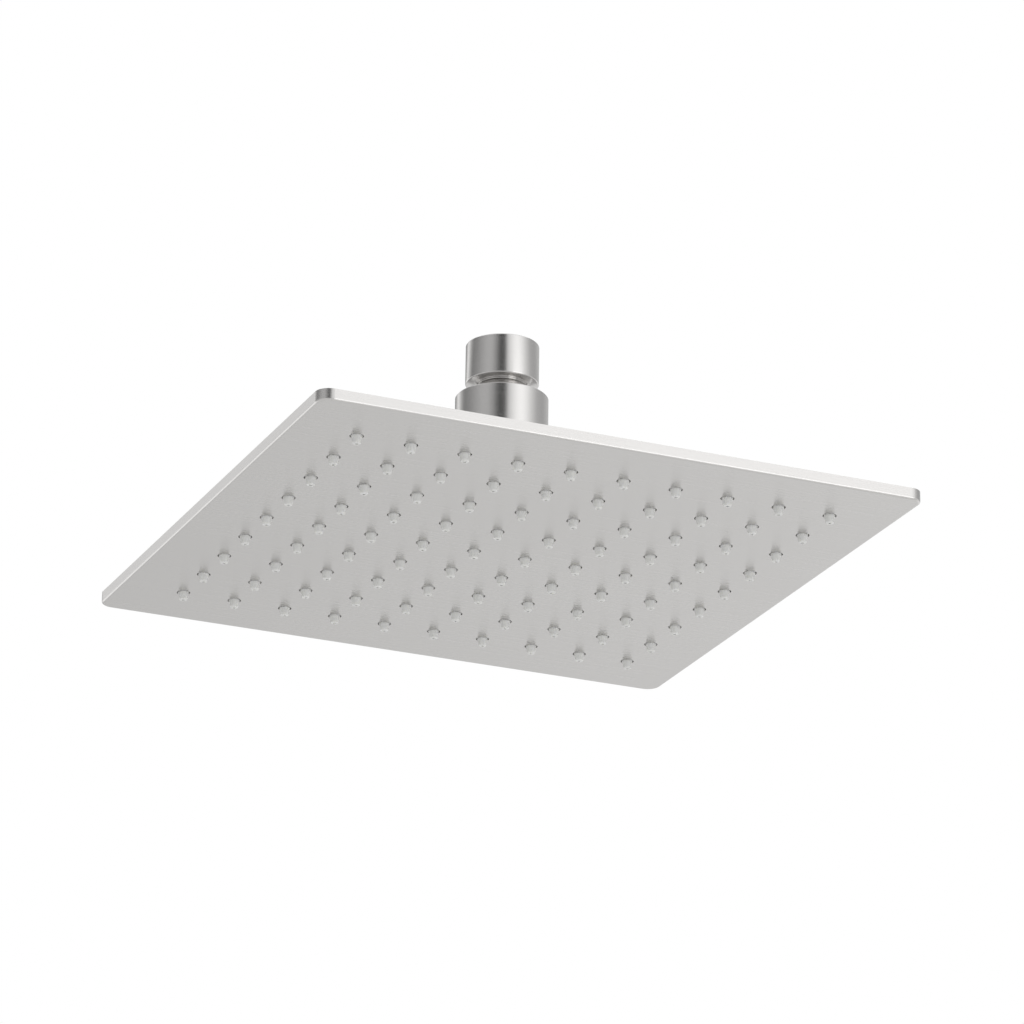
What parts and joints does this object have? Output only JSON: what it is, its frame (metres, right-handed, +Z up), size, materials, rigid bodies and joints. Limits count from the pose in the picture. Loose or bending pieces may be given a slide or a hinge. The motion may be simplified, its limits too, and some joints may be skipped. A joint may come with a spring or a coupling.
{
  "type": "square shower head",
  "caption": "Thin square overhead shower head in brushed steel, with soft nozzles and a ball joint under a round inlet nut.",
  "frame": {"origin": "under the middle of the head, at the level of the nozzle tips", "axes": "+Z up through the ball joint, out of the inlet; X along the rows of nozzles, Y along the columns"},
  "size_m": [0.2, 0.2, 0.0741],
  "materials": {
    "face_steel": "fine brushed satin",
    "cover_steel": "fine brushed satin",
    "turned_steel": "turned satin with fine lathe lines",
    "ball_steel": "polished",
    "boss_steel": "turned satin",
    "bright_steel": "bright zinc",
    "silicone": "translucent grey, satin",
    "black_rubber": "matt",
    "white_plastic": "moulded, satin"
  },
  "bodies": {
    "nut": {"inlet_nut": "turned_steel"},
    "stem": {"ball_stem": "ball_steel", "retaining_ring": "bright_steel", "slip_washer": "white_plastic", "inlet_washer": "black_rubber", "regulator_body": "white_plastic", "regulator_ring": "black_rubber", "regulator_seal": "black_rubber", "filter_screen": "bright_steel"},
    "seat": {"slip_ring": "white_plastic"},
    "head": {"face_plate": "face_steel", "nozzle_mat": "silicone", "nozzle_plate": "white_plastic", "weld_studs": "bright_steel", "stud_nuts": "bright_steel", "back_cover": "cover_steel", "inlet_boss": "boss_steel", "ball_seat": "white_plastic", "seat_seal": "black_rubber", "ball_seal": "black_rubber", "collar": "turned_steel"}
  },
  "joints": [
    {"name": "nut_turn", "type": "hinge", "parent": "nut", "child": "stem", "pos_m": [0, 0, 0.0607], "axis": [0, 0, 1], "continuous": true},
    {"name": "head_tilt", "type": "hinge", "parent": "stem", "child": "seat", "pos_m": [0, 0, 0.0507], "axis": [1, 0, 0], "range_deg": [-15, 15]},
    {"name": "head_turn", "type": "hinge", "parent": "seat", "child": "head", "pos_m": [0, 0, 0.0507], "axis": [0, 0, 1], "continuous": true}
  ]
}
